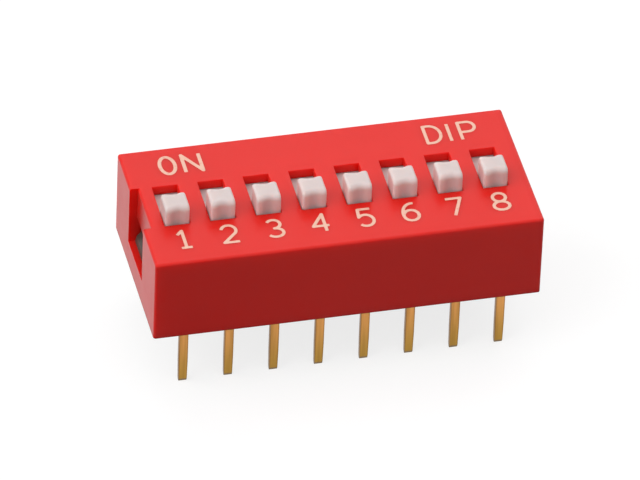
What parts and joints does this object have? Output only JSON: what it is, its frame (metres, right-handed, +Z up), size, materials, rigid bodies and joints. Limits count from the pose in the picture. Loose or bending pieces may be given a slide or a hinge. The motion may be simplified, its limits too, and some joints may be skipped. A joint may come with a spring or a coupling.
{
  "type": "dip switch",
  "caption": "Slide switch in a dual in-line package: box-shaped red cover over a base, white slide knobs in a row of slots, and straight through-hole pins along both sides.",
  "frame": {"origin": "centre of the cover's lower rim, which seats on the board", "axes": "+X along the row from position 1 to position 8, +Y from off to on, +Z up out of the board"},
  "size_m": [0.0216, 0.0098, 0.0103],
  "materials": {
    "cover": "satin moulded red plastic",
    "base": "black moulded plastic",
    "seal": "poured dark epoxy",
    "slider": "satin moulded white plastic",
    "contact": "gold-plated strip"
  },
  "bodies": {
    "housing": {"cover": "cover", "base": "base", "seal": "seal", "front_terminal_1": "contact", "front_terminal_2": "contact", "front_terminal_3": "contact", "front_terminal_4": "contact", "front_terminal_5": "contact", "front_terminal_6": "contact", "front_terminal_7": "contact", "front_terminal_8": "contact", "rear_terminal_1": "contact", "rear_terminal_2": "contact", "rear_terminal_3": "contact", "rear_terminal_4": "contact", "rear_terminal_5": "contact", "rear_terminal_6": "contact", "rear_terminal_7": "contact", "rear_terminal_8": "contact"},
    "actuator_1": {"slider_1": "slider", "wiper_1": "contact"},
    "actuator_2": {"slider_2": "slider", "wiper_2": "contact"},
    "actuator_3": {"slider_3": "slider", "wiper_3": "contact"},
    "actuator_4": {"slider_4": "slider", "wiper_4": "contact"},
    "actuator_5": {"slider_5": "slider", "wiper_5": "contact"},
    "actuator_6": {"slider_6": "slider", "wiper_6": "contact"},
    "actuator_7": {"slider_7": "slider", "wiper_7": "contact"},
    "actuator_8": {"slider_8": "slider", "wiper_8": "contact"}
  },
  "joints": [
    {"name": "slide_1", "type": "slide", "parent": "housing", "child": "actuator_1", "axis": [0, 1, 0], "range_m": [0, 0.00188]},
    {"name": "slide_2", "type": "slide", "parent": "housing", "child": "actuator_2", "axis": [0, 1, 0], "range_m": [0, 0.00188]},
    {"name": "slide_3", "type": "slide", "parent": "housing", "child": "actuator_3", "axis": [0, 1, 0], "range_m": [0, 0.00188]},
    {"name": "slide_4", "type": "slide", "parent": "housing", "child": "actuator_4", "axis": [0, 1, 0], "range_m": [0, 0.00188]},
    {"name": "slide_5", "type": "slide", "parent": "housing", "child": "actuator_5", "axis": [0, 1, 0], "range_m": [0, 0.00188]},
    {"name": "slide_6", "type": "slide", "parent": "housing", "child": "actuator_6", "axis": [0, 1, 0], "range_m": [0, 0.00188]},
    {"name": "slide_7", "type": "slide", "parent": "housing", "child": "actuator_7", "axis": [0, 1, 0], "range_m": [0, 0.00188]},
    {"name": "slide_8", "type": "slide", "parent": "housing", "child": "actuator_8", "axis": [0, 1, 0], "range_m": [0, 0.00188]}
  ]
}
